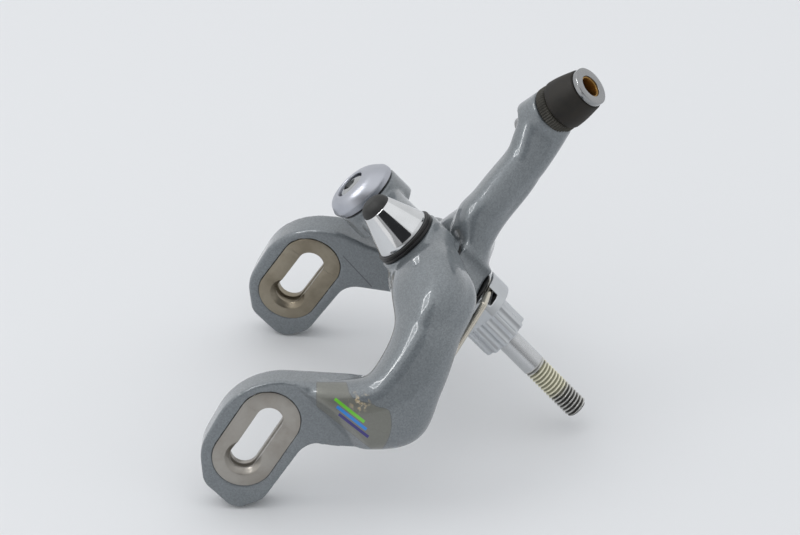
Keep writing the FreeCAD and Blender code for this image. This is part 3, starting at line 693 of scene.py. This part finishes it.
# Cable anchor: domed cap with the socket head of its bolt sunk in it
anchor = next(m for m in frame["record"]["mounts"] if m["name"] == "cable_anchor")
ANCHOR = Vector(anchor["pos_m"])
FRONT = -AXIS_Y
low, high, reach = measure("anchor_cap", ANCHOR, FRONT)
recess = high - CAP_RECESS
cap = [(CAP_BORE, low, 0), (reach - 0.25 * MM, low, 0.1 * MM), (reach, low + 1.5 * MM, 0.4 * MM),
       (reach * 0.8, high - 0.8 * MM, 1.4 * MM), (4.4 * MM, high, 0.5 * MM),
       (CAP_RECESS_R, high - 0.25 * MM, 0.2 * MM), (CAP_RECESS_R, recess, 0), (CAP_BORE, recess, 0)]
cap_mesh = turned("anchor_cap_turned", cap, ANCHOR, FRONT, True, lean=CAP_LEAN)
piece("anchor_cap_turned", cap_mesh, CAP, "front_arm", "anchor_cap")
bolt_low = measure("anchor_clamp_bolt", ANCHOR, FRONT)[0]


def hexagon(angle, radius, along):
    """Six flats of the socket in the bolt's head."""
    if abs(radius - SOCKET_R) > 0.05 * MM or along < high - 3 * MM:
        return 0
    return SOCKET_R * (1 / math.cos((angle + math.pi / 6) % (math.pi / 3) - math.pi / 6) - 1)


clamp = [(0, bolt_low, 0), (2.4 * MM, bolt_low, 0), (2.4 * MM, high - 1.7 * MM, 0),
         (3.7 * MM, high - 1.7 * MM, 0), (3.6 * MM, high - 0.7 * MM, 0.7 * MM),
         (SOCKET_R, high - 0.1 * MM, 0), (SOCKET_R, recess, 0), (0, high - 1.9 * MM, 0)]
clamp_mesh = turned("anchor_clamp_bolt_turned", clamp, ANCHOR, FRONT, False, 96, hexagon, CAP_LEAN)
piece("anchor_clamp_bolt_turned", clamp_mesh, CHROME, "front_arm", "anchor_clamp_bolt")


def spring_half(name, side):
    """Half of the spring's wire, cut where it passes over the bolt."""
    shape = bmesh.new()
    shape.from_mesh(NODES["return_spring"].data)
    bmesh.ops.remove_doubles(shape, verts=shape.verts, dist=WELD)
    parts = shape.verts[:] + shape.edges[:] + shape.faces[:]
    cut = bmesh.ops.bisect_plane(shape, geom=parts, plane_co=ORIGIN, plane_no=AXIS_X * side, clear_inner=True)
    bmesh.ops.holes_fill(shape, edges=[e for e in cut["geom_cut"] if isinstance(e, bmesh.types.BMEdge)])
    swell(shape.verts, SPRING_SWELLS)
    return finished(name, shape)


# Each leg of the spring runs between the block and the arm that it pushes; each is a piece of its own, on no body
for name, side, arm in (("spring_leg_front", 1, "front_arm"), ("spring_leg_rear", -1, "rear_arm")):
    leg = piece(name, spring_half(name, side), SPRING, None, "return_spring")
    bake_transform(leg)

# Looks of the solids that keep their own shape
KEPT = {
    "block_set_screw": BLACK_STEEL, "front_spring_peg": CHROME, "rear_spring_peg": CHROME,
    "front_arm_bush": BRONZE, "rear_arm_bush": BRONZE, "front_slot_insert": INSERT_NEAR,
    "rear_slot_insert": INSERT_FAR, "anchor_seal": BLACK, "anchor_nut": CHROME, "adjuster_stem": STEM,
    "adjuster_liner": BRASS,
}
for node, look in KEPT.items():
    solid = NODES[node]
    solid.data.materials.clear()
    solid.data.materials.append(look)
    solid.data.shade_smooth()
    weld = solid.modifiers.new("weld", "WELD")
    weld.merge_threshold = WELD
    solid.data.set_sharp_from_angle(angle=SHARP)
    edge = solid.modifiers.new("edge", "BEVEL")
    edge.width = EDGE_WIDE
    edge.segments = 2
    edge.limit_method = "ANGLE"
    edge.angle_limit = EDGE_ANGLE


# Floor, world, lamps and camera
def floor_height():
    """Height of the floor along its own normal: the lowest point of the brake."""
    lowest = 1e9
    for node in ("front_arm", "rear_arm", "pivot_bolt"):
        lowest = min(lowest, min(v.co.dot(FLOOR_UP) for v in NODES[node].data.vertices))
    return lowest


def floor_look():
    """Pale floor that can't be seen from below."""
    look = Look("floor", Base_Color=FLOOR_COLOUR, Roughness=0.7, Specular_IOR_Level=0.2)
    back = look.add("ShaderNodeNewGeometry").outputs["Backfacing"]
    clear = look.add("ShaderNodeBsdfTransparent").outputs[0]
    share = look.add("ShaderNodeMixShader", {0: back, 1: look.shader.outputs[0], 2: clear})
    look.links.new(share.outputs[0], look.nodes["Material Output"].inputs["Surface"])
    return look.material


FLOOR_RIGHT = (RIGHT - FLOOR_UP * RIGHT.dot(FLOOR_UP)).normalized()
FLOOR_DEEP = FLOOR_UP.cross(FLOOR_RIGHT)
floor_at = FLOOR_UP * floor_height()


def on_floor(right, deep, up):
    """Point given across the picture, away from the camera and up from the floor, in metres."""
    return floor_at + FLOOR_RIGHT * right + FLOOR_DEEP * deep + FLOOR_UP * up


floor_mesh = bpy.data.meshes.new("floor")
sides = ((-1, -FLOOR_NEAR), (1, -FLOOR_NEAR), (1, FLOOR_SIZE), (-1, FLOOR_SIZE))
corners = [on_floor(a * FLOOR_SIZE, b, 0) for a, b in sides]
floor_mesh.from_pydata(corners, [], [(0, 1, 2, 3)])
floor = bpy.data.objects.new("floor", floor_mesh)
bpy.context.scene.collection.objects.link(floor)
floor_mesh.materials.append(floor_look())


def lamp(name, at, target, size, power):
    """Soft rectangular lamp that faces a target."""
    light = bpy.data.lights.new(name, "AREA")
    light.shape = "RECTANGLE"
    light.size, light.size_y = size
    light.energy = power
    thing = bpy.data.objects.new(name, light)
    thing.location = at
    thing.rotation_mode = "QUATERNION"
    thing.rotation_quaternion = (target - at).to_track_quat("-Z", "Y")
    bpy.context.scene.collection.objects.link(thing)


def card(name, at, target, sheets, look):
    """Flat shapes facing a target, each given by its middle and its size across and up."""
    turn = (target - at).to_track_quat("Z", "Y").to_matrix()
    corners = []
    faces = []
    for (across, up), (wide, high) in sheets:
        faces.append(tuple(range(len(corners), len(corners) + 4)))
        for a, b in ((-1, -1), (1, -1), (1, 1), (-1, 1)):
            corners.append(at + turn @ Vector((across + a * wide / 2, up + b * high / 2, 0)))
    mesh = bpy.data.meshes.new(name)
    mesh.from_pydata(corners, [], faces)
    mesh.materials.append(look)
    thing = bpy.data.objects.new(name, mesh)
    bpy.context.scene.collection.objects.link(thing)
    thing.visible_camera = False
    thing.visible_shadow = False
    return thing


def glow(name, strength):
    """White light of its own."""
    look = Look(name, Base_Color=(0, 0, 0), Emission_Color=(1, 1, 1), Emission_Strength=strength)
    return look.material


middle = on_floor(*MIDDLE)


def from_middle(way, far):
    """Point that lies some way and distance from the middle of the brake."""
    right, deep, up = way
    return middle + (FLOOR_RIGHT * right + FLOOR_DEEP * deep + FLOOR_UP * up) * far


key_at = from_middle(KEY_WAY, KEY_FAR)
lamp("key", key_at, middle, KEY_SIZE, KEY_POWER)
wide, high = KEY_SIZE
bars = [((0, -high / 2), (wide + KEY_BAR, KEY_BAR)), ((0, high / 2), (wide + KEY_BAR, KEY_BAR)),
        ((-wide / 2, 0), (KEY_BAR, high)), ((wide / 2, 0), (KEY_BAR, high))]
key_frame = card("key_frame", key_at, middle, bars, glow("key_frame", KEY_GLOW))
key_frame.visible_diffuse = False
lamp("overhead", on_floor(*OVERHEAD_AT), middle, OVERHEAD_SIZE, OVERHEAD_POWER)
dark = Look("card_cloth", Base_Color=(0.012, 0.012, 0.014), Roughness=0.9).material
dark_at = from_middle(DARK_CARD_WAY, DARK_CARD_FAR)
dark_card = card("dark_card", dark_at, middle, [((0, 0), DARK_CARD_SIZE)], dark)
dark_card.visible_diffuse = False
wall = card("pale_wall", on_floor(*WALL_AT), middle, [((0, 0), WALL_SIZE)], glow("pale_wall", WALL_GLOW))
wall.visible_diffuse = False

# World: the camera and reflections see a pale backdrop that darkens toward the camera's own side
world = bpy.data.worlds.new("studio")
bpy.context.scene.world = world
world.use_nodes = True
tree = world.node_tree
background = tree.nodes["Background"]
seen = tree.nodes.new("ShaderNodeLightPath")
pale = tree.nodes.new("ShaderNodeBackground")
ways = tree.nodes.new("ShaderNodeTexCoord")
lean = tree.nodes.new("ShaderNodeVectorMath")
lean.operation = "DOT_PRODUCT"
lean.inputs[1].default_value = (FLOOR_DEEP * 0.8 + FLOOR_UP * 0.6).normalized()
tree.links.new(ways.outputs["Generated"], lean.inputs[0])
shade = tree.nodes.new("ShaderNodeMapRange")
spread = {"From Min": -0.8, "From Max": 0.1, "To Min": WORLD_SEEN_NEAR, "To Max": WORLD_SEEN_FAR}
for key, value in spread.items():
    shade.inputs[key].default_value = value
tree.links.new(lean.outputs["Value"], shade.inputs["Value"])
tree.links.new(shade.outputs["Result"], pale.inputs["Strength"])
pale.inputs["Color"].default_value = (0.99, 1.0, 1.01, 1)
background.inputs["Color"].default_value = (0.95, 0.97, 1.0, 1)
background.inputs["Strength"].default_value = WORLD_LIGHT
either = tree.nodes.new("ShaderNodeMath")
either.operation = "MAXIMUM"
tree.links.new(seen.outputs["Is Camera Ray"], either.inputs[0])
tree.links.new(seen.outputs["Is Glossy Ray"], either.inputs[1])
blend = tree.nodes.new("ShaderNodeMixShader")
tree.links.new(either.outputs[0], blend.inputs[0])
tree.links.new(background.outputs[0], blend.inputs[1])
tree.links.new(pale.outputs[0], blend.inputs[2])
tree.links.new(blend.outputs[0], tree.nodes["World Output"].inputs["Surface"])

camera_data = bpy.data.cameras.new("camera")
camera_data.lens = LENS
camera_data.sensor_width = SENSOR
camera_data.clip_end = 20
camera = bpy.data.objects.new("camera", camera_data)
bpy.context.scene.collection.objects.link(camera)
camera.matrix_world = Matrix((
    (RIGHT.x, UP.x, BACK.x, CAMERA_AT.x),
    (RIGHT.y, UP.y, BACK.y, CAMERA_AT.y),
    (RIGHT.z, UP.z, BACK.z, CAMERA_AT.z),
    (0, 0, 0, 1),
))
bpy.context.scene.camera = camera
bpy.context.scene.view_settings.view_transform = "Standard"
